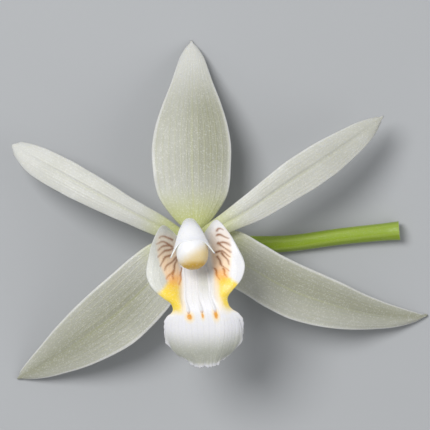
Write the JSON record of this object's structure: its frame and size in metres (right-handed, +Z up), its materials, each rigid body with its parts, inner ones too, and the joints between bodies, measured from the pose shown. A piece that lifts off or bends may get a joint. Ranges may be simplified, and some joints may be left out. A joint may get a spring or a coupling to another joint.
{
  "type": "coelogyne orchid flower",
  "caption": "White coelogyne orchid flower as picked, with spread sepals and petals, a striped and yellow lip, a hooded column and a curved stalk, lying face up.",
  "frame": {"origin": "on the surface that the flower lies on, under the middle of its box", "axes": "+X to the viewer's right across the flower, +Y towards the dorsal sepal's tip, +Z up, the way the flower faces"},
  "size_m": [0.0452, 0.037, 0.0178],
  "materials": {
    "tepal_white": "satin petal tissue, faintly green at the foot",
    "lip_marked": "satin petal tissue with brown veins and a yellow patch",
    "column_white": "smooth waxy tissue",
    "anther_cream": "smooth waxy tissue",
    "pollen_yellow": "waxy pollen mass",
    "stalk_green": "satin green stem skin"
  },
  "bodies": {
    "root": {"ovary_and_pedicel": "stalk_green", "dorsal_sepal": "tepal_white", "lateral_sepal_left": "tepal_white", "lateral_sepal_right": "tepal_white", "petal_left": "tepal_white", "petal_right": "tepal_white", "lip": "lip_marked", "column": "column_white", "anther_cap": "anther_cream", "pollinium_upper_left": "pollen_yellow", "pollinium_upper_right": "pollen_yellow", "pollinium_lower_left": "pollen_yellow", "pollinium_lower_right": "pollen_yellow"}
  },
  "joints": []
}
